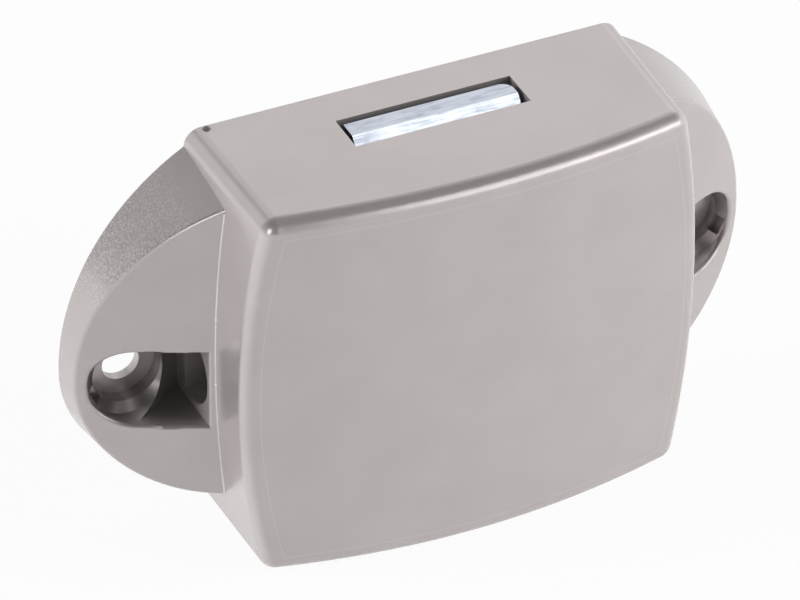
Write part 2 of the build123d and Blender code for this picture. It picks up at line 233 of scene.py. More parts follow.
class ShaderGroups:
    """The surface effects that several finishes share, each built once.

    Scales are per millimetre. A band is the range of a noise over which its effect comes in.
    """

    OUTPUTS: dict[str, str] = {
        "Colour": "NodeSocketColor", "Roughness": "NodeSocketFloat", "Height": "NodeSocketFloat"}
    CLOUD_SCALE: float = 0.16
    CLOUD_BAND: Range = (0.3, 0.7)
    FINE_BAND: Range = (0.2, 0.8)
    FINE_LEAST: float = 0.7
    SPECK_SCALE: float = 0.4
    SPECK_BAND: Range = (0.02, 0.06)
    RARE_BAND: Range = (0.70, 0.76)
    SPECK_SHARE: float = 0.35
    SPECK_HEIGHT: float = 0.4
    STREAK_BAND: Range = (0.35, 0.7)
    STAIN_SCALE: float = 0.9
    STAIN_BAND: Range = (0.3, 0.75)
    STAIN_LEAST: float = 0.4

    def __init__(self) -> None:
        """Builds the groups."""
        self.grain = self._grain()
        self.streaks = self._streaks()

    def _group(self, name: str, inputs: dict[str, tuple[str, object]]) -> bpy.types.NodeTree:
        """An empty group with its sockets.

        Args:
            name: the group's name.
            inputs: socket type and default value by input name.

        Returns:
            The group's tree.
        """
        tree = bpy.data.node_groups.new(name, "ShaderNodeTree")
        for key, (kind, value) in inputs.items():
            socket = tree.interface.new_socket(key, in_out="INPUT", socket_type=kind)
            socket.default_value = value
        for key, kind in self.OUTPUTS.items():
            tree.interface.new_socket(key, in_out="OUTPUT", socket_type=kind)
        return tree

    def _grain(self) -> bpy.types.NodeTree:
        """Moulded plastic: soft mottling, fine grain and a few pale specks.

        Returns:
            The group, with Colour, Roughness and Height.
        """
        tree = self._group("moulded_grain", {
            "Tone": ("NodeSocketColor", (0.5, 0.5, 0.5, 1)),
            "Deep Tone": ("NodeSocketColor", (0.4, 0.4, 0.4, 1)),
            "Speck Tone": ("NodeSocketColor", (0.8, 0.8, 0.8, 1)),
            "Grain Size": ("NodeSocketFloat", 0.2),
            "Smooth": ("NodeSocketFloat", 0.4),
            "Rough": ("NodeSocketFloat", 0.5),
        })
        graph = NodeGraph(tree)
        entry = graph.add("NodeGroupInput").outputs
        place = graph.millimetres()
        cloud = graph.add("ShaderNodeTexNoise", Vector=place, Scale=self.CLOUD_SCALE, Detail=3.0).outputs[0]
        grain_scale = graph.math("DIVIDE", 1.0, entry["Grain Size"])
        fine = graph.add("ShaderNodeTexNoise", Vector=place, Scale=grain_scale, Detail=2.0).outputs[0]
        cells = graph.add("ShaderNodeTexVoronoi", Vector=place, Scale=self.SPECK_SCALE).outputs["Distance"]
        rare = graph.add("ShaderNodeTexNoise", Vector=place, Scale=self.SPECK_SCALE, Detail=0.0).outputs[0]
        speck = graph.math(
            "MULTIPLY", graph.spread(cells, self.SPECK_BAND, 1.0, 0.0),
            graph.spread(rare, self.RARE_BAND, 0.0, 1.0))
        mottle = graph.math(
            "MULTIPLY", graph.spread(cloud, self.CLOUD_BAND, 0.0, 1.0),
            graph.spread(fine, self.FINE_BAND, self.FINE_LEAST, 1.0))
        tone = graph.mix(mottle, entry["Tone"], entry["Deep Tone"])
        tone = graph.mix(graph.math("MULTIPLY", speck, self.SPECK_SHARE), tone, entry["Speck Tone"])
        rough = graph.between(fine, entry["Smooth"], entry["Rough"])
        height = graph.math("ADD", fine, graph.math("MULTIPLY", speck, self.SPECK_HEIGHT))
        graph.add("NodeGroupOutput", Colour=tone, Roughness=rough, Height=height)
        return tree

    def _streaks(self) -> bpy.types.NodeTree:
        """Drawn or rolled metal: streaks along the metal, with small dull stains.

        Returns:
            The group, with Colour, Roughness and Height.
        """
        tree = self._group("drawn_streaks", {
            "Tone": ("NodeSocketColor", (0.7, 0.7, 0.7, 1)),
            "Deep Tone": ("NodeSocketColor", (0.5, 0.5, 0.5, 1)),
            "Stretch": ("NodeSocketVector", (0.3, 6.0, 6.0)),
            "Smooth": ("NodeSocketFloat", 0.2),
            "Rough": ("NodeSocketFloat", 0.4),
        })
        graph = NodeGraph(tree)
        entry = graph.add("NodeGroupInput").outputs
        place = graph.millimetres()
        drawn = graph.vector("MULTIPLY", place, entry["Stretch"])
        line = graph.add("ShaderNodeTexNoise", Vector=drawn, Scale=1.0, Detail=4.0).outputs[0]
        stain = graph.add("ShaderNodeTexNoise", Vector=place, Scale=self.STAIN_SCALE, Detail=3.0).outputs[0]
        dull = graph.math(
            "MULTIPLY", graph.spread(line, self.STREAK_BAND, 0.0, 1.0),
            graph.spread(stain, self.STAIN_BAND, self.STAIN_LEAST, 1.0))
        tone = graph.mix(dull, entry["Tone"], entry["Deep Tone"])
        rough = graph.between(dull, entry["Smooth"], entry["Rough"])
        graph.add("NodeGroupOutput", Colour=tone, Roughness=rough, Height=line)
        return tree


@dataclass(frozen=True)
class Surface:
    """What a shader takes from a finish: sockets for its colour, roughness and height."""

    colour: Socket
    roughness: Socket
    height: Socket


@dataclass(frozen=True)
class Finish:
    """What plastics and metals share: their tones, their gloss and the strength of their grain."""

    name: str
    tone: Colour
    deep_tone: Colour
    smooth: float
    rough: float
    bump: float

    def _dressed(
        self, effect: bpy.types.NodeTree, metallic: float, values: dict[str, object]
    ) -> bpy.types.Material:
        """The finish as a material.

        Args:
            effect: the shared effect that it starts from.
            metallic: how far it reflects as a metal does.
            values: the effect's inputs that not every finish has.

        Returns:
            The material.
        """
        material = bpy.data.materials.new(self.name)
        material.use_nodes = True
        graph = NodeGraph(material.node_tree)
        shader = material.node_tree.nodes["Principled BSDF"]
        shader.inputs["Metallic"].default_value = metallic
        group = graph.add("ShaderNodeGroup", {"node_tree": effect})
        tones = {"Tone": (*self.tone, 1), "Deep Tone": (*self.deep_tone, 1)}
        for key, value in {**tones, "Smooth": self.smooth, "Rough": self.rough, **values}.items():
            group.inputs[key].default_value = value
        surface = self.work(graph, Surface(*(group.outputs[key] for key in ShaderGroups.OUTPUTS)))
        bump = graph.add(
            "ShaderNodeBump", Strength=self.bump, Distance=BUMP_DEPTH * MM, Height=surface.height)
        graph.set(shader.inputs["Base Color"], surface.colour)
        graph.set(shader.inputs["Roughness"], surface.roughness)
        graph.set(shader.inputs["Normal"], bump.outputs[0])
        return material

    def work(self, graph: NodeGraph, surface: Surface) -> Surface:
        """The surface as the effect leaves it; a finish with more marks adds them here."""
        return surface


@dataclass(frozen=True)
class MouldedFinish(Finish):
    """A moulded plastic, with the size of its grain and the tone of its specks."""

    speck_tone: Colour
    grain_size: float
    metallic: float = 0.0

    def material(self, groups: ShaderGroups) -> bpy.types.Material:
        """The finish as a material, from the shared effects."""
        own = {"Speck Tone": (*self.speck_tone, 1), "Grain Size": self.grain_size}
        return self._dressed(groups.grain, self.metallic, own)


@dataclass(frozen=True)
class CaseFinish(MouldedFinish):
    """The case's finish: the moulded grain, the marks of moulding, and painted highlight and shade.

    A fine line runs inside the cover's edge, a painted highlight lightens the cover's rounded sides, the
    left ear's upper rim is speckled and painted shade darkens the screw pockets. Lengths follow the case,
    in millimetres. A share says how strongly a mark's tone shows.
    """

    cover_half: float = 20.9
    side_bow: float = 2.6
    cover_top: float = 23.5
    cover_bottom: float = -16.5
    end_bow: float = 0.3
    cover_start: float = -15.0
    line_inset: float = 1.85
    line_width: float = 0.07
    line_share: float = 0.22
    line_depth: float = 2.0
    # Painted highlight along the cover's rounded sides: its band, fade and share.
    side_sheen_band: Range = (0.2, 0.95)
    side_sheen_fade: float = 1.0
    side_sheen_share: float = 0.3
    rim_start: float = 23.4
    rim_fade: float = 1.5
    rim_low: float = 7.5
    rim_rise: float = 4.0
    rim_facing: Range = (0.3, 0.6)
    rim_grain: float = 0.25
    rim_band: Range = (0.2, 0.6)
    rim_share: float = 0.16
    rim_rough: float = 0.1
    # Painted shade in the screw pockets: its tone, the pockets' box and the fade from their mouths.
    pocket_shade_tone: Colour = (0.28, 0.255, 0.248)
    pocket_half: float = 4.55
    pocket_start: float = 23.3
    pocket_end: float = 33.6
    pocket_floor: float = -1.0
    pocket_fade: Range = (0.4, 2.2)
    ear_root: float = 8.6
    ear_slope: float = 0.47

    def work(self, graph: NodeGraph, surface: Surface) -> Surface:
        """Adds the line, the painted highlight on the sides, the speckled rim and the painted shade in the
        pockets.

        Args:
            graph: the material's nodes.
            surface: the plain moulded surface.

        Returns:
            The surface with its marks.
        """
        scaled = graph.millimetres()
        place = graph.add("ShaderNodeSeparateXYZ", Vector=scaled).outputs
        to_end, to_side = self._margins(graph, place)
        line = self._line(graph, place, graph.math("MINIMUM", to_end, to_side))
        # Painted highlight: lightens the cover's rounded sides towards the speck tone.
        painted_side_sheen = graph.math(
            "MULTIPLY", graph.spread(to_side, self.side_sheen_band, 1.0, 0.0),
            graph.spread(place["Y"], (self.cover_start - self.side_sheen_fade, self.cover_start), 1.0, 0.0))
        spots = graph.add("ShaderNodeTexVoronoi", Vector=scaled, Scale=1 / self.rim_grain)
        spotted = graph.spread(spots.outputs["Distance"], self.rim_band, 1.0, 0.0)
        coarse = graph.math("MULTIPLY", self._rim(graph, place), spotted)
        colour = surface.colour
        for mark, share in ((line, self.line_share), (painted_side_sheen, self.side_sheen_share), (coarse, self.rim_share)):
            colour = graph.mix(graph.math("MULTIPLY", mark, share), colour, (*self.speck_tone, 1))
        # Painted shade: darkens the screw pockets towards the pocket shade tone.
        colour = graph.mix(self._pocket_shade(graph, place), colour, (*self.pocket_shade_tone, 1))
        roughness = graph.math("ADD", surface.roughness, graph.math("MULTIPLY", coarse, self.rim_rough))
        height = graph.math("ADD", surface.height, coarse)
        height = graph.math("ADD", height, graph.math("MULTIPLY", line, -self.line_depth))
        return Surface(colour, roughness, height)

    def _margins(self, graph: NodeGraph, place: Outputs) -> tuple[Socket, Socket]:
        """How far a place lies inside the cover's bowed outline.

        Args:
            graph: the material's nodes.
            place: the place's X, Y and Z.

        Returns:
            The distance from the cover's ends, and from its sides.
        """
        middle = (self.cover_top + self.cover_bottom) / 2
        tall = (self.cover_top - self.cover_bottom) / 2
        across = graph.math("POWER", graph.math("DIVIDE", place["X"], self.cover_half), 2.0)
        height = graph.math("SUBTRACT", place["Z"], middle)
        along = graph.math("POWER", graph.math("DIVIDE", height, tall), 2.0)
        bow = graph.math("MULTIPLY", graph.math("SUBTRACT", 1.0, across), self.end_bow)
        swell = graph.math("MULTIPLY", graph.math("SUBTRACT", 1.0, along), self.side_bow)
        end = graph.math("ADD", bow, tall)
        side = graph.math("ADD", swell, self.cover_half)
        to_end = graph.math("SUBTRACT", end, graph.math("ABSOLUTE", height))
        to_side = graph.math("SUBTRACT", side, graph.math("ABSOLUTE", place["X"]))
        return to_end, to_side

    def _line(self, graph: NodeGraph, place: Outputs, margin: Socket) -> Socket:
        """A thin line that runs round the cover inside its rounded edge.

        Args:
            graph: the material's nodes.
            place: the place's X, Y and Z.
            margin: how far the place lies inside the cover's outline.

        Returns:
            One on the line, and zero elsewhere.
        """
        off = graph.math("ABSOLUTE", graph.math("SUBTRACT", margin, self.line_inset))
        on_cover = graph.math("LESS_THAN", place["Y"], self.cover_start)
        near = graph.spread(off, (self.line_width / 2, self.line_width), 1.0, 0.0)
        return graph.math("MULTIPLY", near, on_cover)

    def _rim(self, graph: NodeGraph, place: Outputs) -> Socket:
        """The left ear's upper rim.

        Args:
            graph: the material's nodes.
            place: the place's X, Y and Z.

        Returns:
            One on the rim, fading out towards the screw.
        """
        normal = graph.add("ShaderNodeTexCoord").outputs["Normal"]
        facing = graph.add("ShaderNodeSeparateXYZ", Vector=normal).outputs
        across = graph.math("MULTIPLY", place["X"], -1.0)
        outside = graph.spread(across, (self.rim_start, self.rim_start + self.rim_fade), 0.0, 1.0)
        upright = graph.spread(graph.math("ABSOLUTE", facing["Y"]), self.rim_facing, 1.0, 0.0)
        upper = graph.spread(place["Z"], (self.rim_low, self.rim_low + self.rim_rise), 0.0, 1.0)
        return graph.math("MULTIPLY", graph.math("MULTIPLY", outside, upright), upper)

    def _pocket_shade(self, graph: NodeGraph, place: Outputs) -> Socket:
        """Painted shade that darkens the depth of the screw pockets.

        Args:
            graph: the material's nodes.
            place: the place's X, Y and Z.

        Returns:
            One deep in the pockets, fading out towards their mouths.
        """
        across = graph.math("ABSOLUTE", place["X"])
        wide = graph.math(
            "MULTIPLY", graph.math("GREATER_THAN", across, self.pocket_start),
            graph.math("LESS_THAN", across, self.pocket_end))
        tall = graph.math("LESS_THAN", graph.math("ABSOLUTE", place["Z"]), self.pocket_half)
        above = graph.math("LESS_THAN", place["Y"], self.pocket_floor)
        face = graph.math("MULTIPLY", graph.math("SUBTRACT", self.pocket_start, across), self.ear_slope)
        depth = graph.math("ADD", graph.math("ADD", face, self.ear_root), place["Y"])
        inside = graph.math("MULTIPLY", graph.math("MULTIPLY", wide, tall), above)
        return graph.math("MULTIPLY", inside, graph.spread(depth, self.pocket_fade, 0.0, 1.0))


@dataclass(frozen=True)
class MetalFinish(Finish):
    """A drawn or plated metal, with the way of its streaks."""

    stretch: Point

    def material(self, groups: ShaderGroups) -> bpy.types.Material:
        """The finish as a material, from the shared effects."""
        return self._dressed(groups.streaks, FULL_METAL, {"Stretch": self.stretch})


CASE_FINISH = CaseFinish(
    "case_silver_grey", tone=(0.50, 0.465, 0.458), deep_tone=(0.475, 0.44, 0.433),
    speck_tone=(0.72, 0.70, 0.69), grain_size=0.22, smooth=0.235, rough=0.265, bump=0.14, metallic=0.55)
# Painted highlight: the seam bead is coloured pale so that it shows as a bright line.
SEAM_HIGHLIGHT_FINISH = MouldedFinish(
    "seam_painted_highlight", tone=(0.74, 0.71, 0.70), deep_tone=(0.62, 0.59, 0.58),
    speck_tone=(0.8, 0.78, 0.77), grain_size=0.22, smooth=0.20, rough=0.30, bump=0.1, metallic=0.55)
# Painted shade: the nib is coloured dark to stand for the shade beside it.
NIB_SHADE_FINISH = MouldedFinish(
    "nib_painted_shade", tone=(0.16, 0.14, 0.135), deep_tone=(0.11, 0.10, 0.095),
    speck_tone=(0.3, 0.28, 0.27), grain_size=0.15, smooth=0.35, rough=0.5, bump=0.2)
PLATE_FINISH = MouldedFinish(
    "plate_silver_grey", tone=(0.47, 0.44, 0.435), deep_tone=(0.44, 0.41, 0.405),
    speck_tone=(0.6, 0.58, 0.57), grain_size=0.3, smooth=0.42, rough=0.55, bump=0.15)
INNER_FINISH = MouldedFinish(
    "inner_natural_white", tone=(0.74, 0.73, 0.69), deep_tone=(0.68, 0.67, 0.63),
    speck_tone=(0.8, 0.8, 0.77), grain_size=0.3, smooth=0.32, rough=0.45, bump=0.08)
BOLT_FINISH = MetalFinish(
    "bolt_bright_zinc", tone=(0.50, 0.53, 0.59), deep_tone=(0.35, 0.38, 0.45), stretch=(0.35, 5.0, 5.0),
    smooth=0.2, rough=0.4, bump=0.1)
PIN_FINISH = MetalFinish(
    "pin_bright_zinc", tone=(0.78, 0.80, 0.84), deep_tone=(0.55, 0.57, 0.61), stretch=(4.0, 0.5, 4.0),
    smooth=0.25, rough=0.4, bump=0.08)
WIRE_FINISH = MetalFinish(
    "drawn_spring_wire", tone=(0.56, 0.56, 0.58), deep_tone=(0.36, 0.36, 0.38), stretch=(3.0, 3.0, 3.0),
    smooth=0.22, rough=0.38, bump=0.05)


class GeometryTree:
    """A Geometry Nodes tree that ends in plain mesh with one material."""

    def __init__(self, name: str, inputs: dict[str, tuple[str, object]]) -> None:
        """Makes the tree with its named inputs.

        Args:
            name: the tree's name.
            inputs: socket type and default value by input name.
        """
        self.tree = bpy.data.node_groups.new(name, "GeometryNodeTree")
        self.tree.interface.new_socket("Geometry", in_out="INPUT", socket_type="NodeSocketGeometry")
        self.tree.interface.new_socket("Geometry", in_out="OUTPUT", socket_type="NodeSocketGeometry")
        self.keys: dict[str, str] = {}
        for key, (kind, value) in {**inputs, "Finish": ("NodeSocketMaterial", None)}.items():
            socket = self.tree.interface.new_socket(key, in_out="INPUT", socket_type=kind)
            if value is not None:
                socket.default_value = value
            self.keys[key] = socket.identifier
        self.graph = NodeGraph(self.tree)
        self.entry = self.graph.add("NodeGroupInput").outputs

    def sweep(self, path: Socket, sides: int) -> None:
        """Sweeps a round wire along a path, and ends the tree.

        Args:
            path: the curve that the wire follows.
            sides: facets round the wire.
        """
        radius = self.graph.math("DIVIDE", self.entry["Wire"], 2.0)
        ring = self.graph.add("GeometryNodeCurvePrimitiveCircle", Resolution=sides, Radius=radius)
        swept = self.graph.add(
            "GeometryNodeCurveToMesh", Curve=path, Profile_Curve=ring.outputs[0], Fill_Caps=True)
        self.close(swept.outputs[0])

    def close(self, geometry: Socket) -> None:
        """Ends the tree: smooth shading, realized instances and the material.

        Args:
            geometry: the finished shape.
        """
        smooth = self.graph.add("GeometryNodeSetShadeSmooth", Geometry=geometry).outputs[0]
        real = self.graph.add("GeometryNodeRealizeInstances", Geometry=smooth).outputs[0]
        dressed = self.graph.add("GeometryNodeSetMaterial", Geometry=real, Material=self.entry["Finish"])
        self.graph.add("NodeGroupOutput", Geometry=dressed.outputs[0])

    def make(self, name: str, carrier: bpy.types.ID, values: dict[str, object]) -> Piece:
        """Runs the tree on a carrier and keeps the result as plain mesh.

        Args:
            name: the new piece's name.
            carrier: the mesh or curve that the tree starts from.
            values: a value for each named input.

        Returns:
            The piece, at the origin.
        """
        obj = link(name, carrier)
        modifier = obj.modifiers.new("shape", "NODES")
        modifier.node_group = self.tree
        for key, value in values.items():
            modifier[self.keys[key]] = value
        bpy.context.view_layer.update()
        shown = obj.evaluated_get(bpy.context.evaluated_depsgraph_get())
        data = bpy.data.meshes.new_from_object(shown)
        bpy.data.objects.remove(obj)
        data.name = name
        return link(name, data)


def wire_tree() -> GeometryTree:
    """A tree that bends a line round its corners and sweeps a round wire along it.

    Returns:
        The tree.
    """
    tree = GeometryTree(
        "bent_wire", {"Bend": ("NodeSocketFloat", 0.9 * MM), "Wire": ("NodeSocketFloat", 1.0 * MM)})
    bent = tree.graph.add(
        "GeometryNodeFilletCurve", {"mode": "POLY"}, Curve=tree.entry["Geometry"], Count=BEND_STEPS,
        Radius=tree.entry["Bend"], Limit_Radius=True)
    tree.sweep(bent.outputs[0], WIRE_SIDES)
    return tree


def coil_tree() -> GeometryTree:
    """A tree that winds a compression spring along -Y, with its end turns drawn together.

    Returns:
        The tree.
    """
    tree = GeometryTree("wound_coil", {
        "Start": ("NodeSocketVector", (0.0, 0.0, 0.0)),
        "Length": ("NodeSocketFloat", 14.0 * MM),
        "Turns": ("NodeSocketFloat", 7.5),
        "Mean Radius": ("NodeSocketFloat", 2.85 * MM),
        "Wire": ("NodeSocketFloat", 0.7 * MM),
        "End Pull": ("NodeSocketFloat", 0.6),
    })
    graph = tree.graph
    entry = tree.entry
    line = graph.add("GeometryNodeCurvePrimitiveLine", End=(0.0, 1.0, 0.0)).outputs[0]
    many = graph.add("GeometryNodeResampleCurve", Curve=line, Count=COIL_STEPS).outputs[0]
    along = graph.add("GeometryNodeSplineParameter").outputs["Factor"]
    angle = graph.math("MULTIPLY", graph.math("MULTIPLY", along, entry["Turns"]), math.tau)
    wave = graph.math("SINE", graph.math("MULTIPLY", along, math.tau))
    pull = graph.math("MULTIPLY", graph.math("DIVIDE", entry["End Pull"], math.tau), wave)
    rise = graph.math("MULTIPLY", graph.math("SUBTRACT", along, pull), entry["Length"])
    place = graph.add(
        "ShaderNodeCombineXYZ",
        X=graph.math("MULTIPLY", graph.math("COSINE", angle), entry["Mean Radius"]),
        Y=graph.math("MULTIPLY", rise, -1.0),
        Z=graph.math("MULTIPLY", graph.math("SINE", angle), entry["Mean Radius"]),
    ).outputs[0]
    moved = graph.vector("ADD", place, entry["Start"])
    coil = graph.add("GeometryNodeSetPosition", Geometry=many, Position=moved).outputs[0]
    tree.sweep(coil, COIL_SIDES)
    return tree


def pair_tree() -> GeometryTree:
    """A tree that sets one small part down at each of two places.

    Returns:
        The tree.
    """
    tree = GeometryTree("matched_pair", {
        "Middle": ("NodeSocketVector", (0.0, 0.0, 0.0)),
        "Spacing": ("NodeSocketFloat", 8.0 * MM),
    })
    graph = tree.graph
    spacing = tree.entry["Spacing"]
    step = graph.add("ShaderNodeCombineXYZ", X=spacing).outputs[0]
    back = graph.add("ShaderNodeCombineXYZ", X=graph.math("DIVIDE", spacing, 2.0)).outputs[0]
    start = graph.vector("SUBTRACT", tree.entry["Middle"], back)
    places = graph.add("GeometryNodeMeshLine", Count=2, Start_Location=start, Offset=step).outputs[0]
    pair = graph.add("GeometryNodeInstanceOnPoints", Points=places, Instance=tree.entry["Geometry"])
    tree.close(pair.outputs[0])
    return tree


def polyline(name: str, routes: list[list[Point]]) -> bpy.types.Curve:
    """A curve of straight runs.

    Args:
        name: the curve's name.
        routes: the points of each spline, in metres.

    Returns:
        The curve.
    """
    line = bpy.data.curves.new(name, "CURVE")
    line.dimensions = "3D"
    for route in routes:
        spline = line.splines.new("POLY")
        spline.points.add(len(route) - 1)
        for point, place in zip(spline.points, route):
            point.co = (*place, 1)
    return line


def turned_mesh(
    name: str, profile: list[Pair], axis: Vector, ring: bool = False, sides: int = 48
) -> bpy.types.Mesh:
    """A part turned on a lathe.

    Args:
        name: the mesh's name.
        profile: radius and place along the axis of each step, in millimetres.
        axis: the turning axis, through the origin.
        ring: True where the profile closes on itself, and False where its ends are capped.
        sides: facets round the axis.

    Returns:
        The mesh, in metres.
    """
    turn = Vector((0, 0, 1)).rotation_difference(axis).to_matrix()
    verts: list[Vector] = []
    faces: list[tuple[int, ...]] = []
    for radius, along in profile:
        for step in range(sides):
            angle = math.tau * step / sides
            verts.append(turn @ metres((radius * math.cos(angle), radius * math.sin(angle), along)))
    rows = len(profile)
    for row in range(rows if ring else rows - 1):
        for step in range(sides):
            after = (step + 1) % sides
            low, high = row * sides, (row + 1) % rows * sides
            faces.append((low + step, low + after, high + after, high + step))
    if not ring:
        faces.append(tuple(reversed(range(sides))))
        faces.append(tuple(range((rows - 1) * sides, rows * sides)))
    mesh = bpy.data.meshes.new(name)
    mesh.from_pydata(verts, [], faces)
    mesh.validate()
    return mesh


def eased(radius: float, low: float, high: float, edge: float) -> list[Pair]:
    """The profile of a plain round pin with eased ends."""
    return [(radius - edge, low), (radius, low + edge), (radius, high - edge), (radius - edge, high)]


@dataclass
class CaseAssembly:
    """The moulded case, the plate that closes it behind, and the small marks of its moulding.

    The seam is found on the case's mesh: its box is given by near, far, low and high, its fold is in
    radians, and a facing is the least part of a face's normal that points its way.
    """

    seam_bead: float = 0.24
    seam_near: float = 21.5
    seam_far: float = 23.1
    seam_low: float = 7.6
    seam_high: float = 9.8
    seam_merge: float = 0.002
    seam_digits: int = 7
    seam_fold: float = 0.3
    wall_facing: float = 0.9
    ear_facing: float = 0.75
    nib_place: Point = (-19.95, -0.55, 23.4)
    nib_profile: tuple[Pair, ...] = ((0.44, 0.0), (0.38, 0.14), (0.26, 0.26), (0.17, 0.28), (0.04, 0.24))
    nib_sides: int = 24
    finish: MouldedFinish = CASE_FINISH
    seam_highlight_finish: MouldedFinish = SEAM_HIGHLIGHT_FINISH
    nib_shade_finish: MouldedFinish = NIB_SHADE_FINISH
    plate_finish: MouldedFinish = PLATE_FINISH

    def build(self, groups: ShaderGroups, wires: GeometryTree) -> list[Piece]:
        """Dresses the case and its plate, and adds the marks.

        Args:
            groups: the shared surface effects.
            wires: the tree that sweeps a round bead along a line.

        Returns:
            The pieces.
        """
        case = dress(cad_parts["case"], self.finish.material(groups))
        plate = dress(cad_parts["base_plate"], self.plate_finish.material(groups))
        # The seam's pale finish is a painted highlight.
        seam = self._seam(case, wires, self.seam_highlight_finish.material(groups))
        # The nib's dark finish is painted shade.
        return [case, plate, seam, self._nib(self.nib_shade_finish.material(groups))]

    def _seam(self, case: Piece, wires: GeometryTree, plastic: bpy.types.Material) -> Piece:
        """The fine bead where the ears' faces run into the block.

        Args:
            case: the case, whose inner corners give the line.
            wires: the tree that sweeps the bead.
            plastic: the bead's material.

        Returns:
            The bead, both sides in one piece.
        """
        corners = bmesh.new()
        corners.from_mesh(case.data)
        bmesh.ops.remove_doubles(corners, verts=corners.verts, dist=self.seam_merge * MM)
        routes = []
        for side in (-1, 1):
            edges = [edge for edge in corners.edges if self._inner_corner(edge, side)]
            places = {vert.co.to_tuple(self.seam_digits) for edge in edges for vert in edge.verts}
            routes.append(sorted(places, key=lambda place: place[2]))
        corners.free()
        line = polyline("seam_line", routes)
        seam = wires.make("ear_seam", line, {"Bend": 0.0, "Wire": self.seam_bead * MM, "Finish": plastic})
        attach(seam, Body.CASE.value)
        return seam

    def _inner_corner(self, edge: bmesh.types.BMEdge, side: int) -> bool:
        """Tells the edges of the line between an ear and the block.

        Args:
            edge: an edge of the case's mesh.
            side: 1 for the right ear, and -1 for the left one.

        Returns:
            True where the edge is on that side's line.
        """
        if len(edge.link_faces) != 2 or edge.calc_face_angle_signed() > -self.seam_fold:
            return False
        wall, face = sorted(edge.link_faces, key=lambda entry: abs(entry.normal.y))
        if abs(wall.normal.x) < self.wall_facing or abs(face.normal.y) < self.ear_facing:
            return False
        return all(
            self.seam_near < side * vert.co.x / MM < self.seam_far
            and self.seam_low < -vert.co.y / MM < self.seam_high
            for vert in edge.verts
        )

    def _nib(self, plastic: bpy.types.Material) -> Piece:
        """The little nib left by the mould beside the bolt face's back corner.

        Args:
            plastic: the nib's material.

        Returns:
            The nib.
        """
        mesh = turned_mesh("mould_nib", list(self.nib_profile), Vector((0, 0, 1)), sides=self.nib_sides)
        mesh.transform(Matrix.Translation(metres(self.nib_place)))
        mesh.shade_smooth()
        nib = dress(link("mould_nib", mesh), plastic)
        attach(nib, Body.CASE.value)
        return nib


@dataclass
class BoltAssembly:
    """The bolt on its slider, with the rivets and washers that hold it."""

    rivet: float = 2.4
    head: float = 3.8
    head_height: float = 0.6
    dome_angles: tuple[float, ...] = (90, 70, 50, 30, 12)
    pitch: float = 8.4
    edge: float = 0.15
    finish: MetalFinish = BOLT_FINISH
    small_finish: MetalFinish = PIN_FINISH
    slider_finish: MouldedFinish = INNER_FINISH

    def build(self, groups: ShaderGroups, pairs: GeometryTree) -> list[Piece]:
        """Dresses the bolt and its slider, and makes the rivets and washers.

        Args:
            groups: the shared surface effects.
            pairs: the tree that sets down matched pairs.

        Returns:
            The pieces.
        """
        bolt = dress(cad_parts["bolt"], self.finish.material(groups))
        slider = dress(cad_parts["bolt_slider"], self.slider_finish.material(groups))
        plated = self.small_finish.material(groups)
        return [bolt, slider, self._rivets(pairs, plated), self._washers(pairs, plated)]

    def _rivets(self, pairs: GeometryTree, plated: bpy.types.Material) -> Piece:
        """The two rivets, each with a domed head in front and a closed end behind.

        Args:
            pairs: the tree that sets down matched pairs.
            plated: the rivets' material.

        Returns:
            Both rivets in one piece.
        """
        low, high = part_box("bolt_rivet_right")
        middle = (low + high) / 2
        front, back = -low.y / MM, -high.y / MM
        head, shank = self.head / 2, self.rivet / 2
        dome = [
            (head * math.sin(angle), front - self.head_height * (1 - math.cos(angle)))
            for angle in map(math.radians, self.dome_angles)
        ]
        profile = [
            (head - self.edge, back), (head, back + self.edge), (head, back + self.head_height),
            (shank, back + self.head_height), (shank, front - self.head_height), *dome,
        ]
        mesh = turned_mesh("rivet", profile, Vector((0, -1, 0)))
        rivets = pairs.make("bolt_rivets", mesh, {
            "Middle": Vector((0, 0, middle.z)), "Spacing": self.pitch * MM, "Finish": plated})
        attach(rivets, Body.BOLT.value)
        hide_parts("bolt_rivet_left", "bolt_rivet_right")
        return rivets

    def _washers(self, pairs: GeometryTree, plated: bpy.types.Material) -> Piece:
        """The two washers behind the slider.

        Args:
            pairs: the tree that sets down matched pairs.
            plated: the washers' material.

        Returns:
            Both washers in one piece.
        """
        low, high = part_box("rivet_washer_right")
        middle = (low + high) / 2
        back, front = -high.y / MM, -low.y / MM
        outer, bore, edge = (high.x - low.x) / 2 / MM, self.rivet / 2, self.edge / 2
        profile = [
            (bore, front), (bore, back), (outer - edge, back), (outer, back + edge), (outer, front - edge),
            (outer - edge, front),
        ]
        mesh = turned_mesh("washer", profile, Vector((0, -1, 0)), ring=True)
        washers = pairs.make("rivet_washers", mesh, {
            "Middle": Vector((0, 0, middle.z)), "Spacing": self.pitch * MM, "Finish": plated})
        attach(washers, Body.BOLT.value)
        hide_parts("rivet_washer_left", "rivet_washer_right")
        return washers


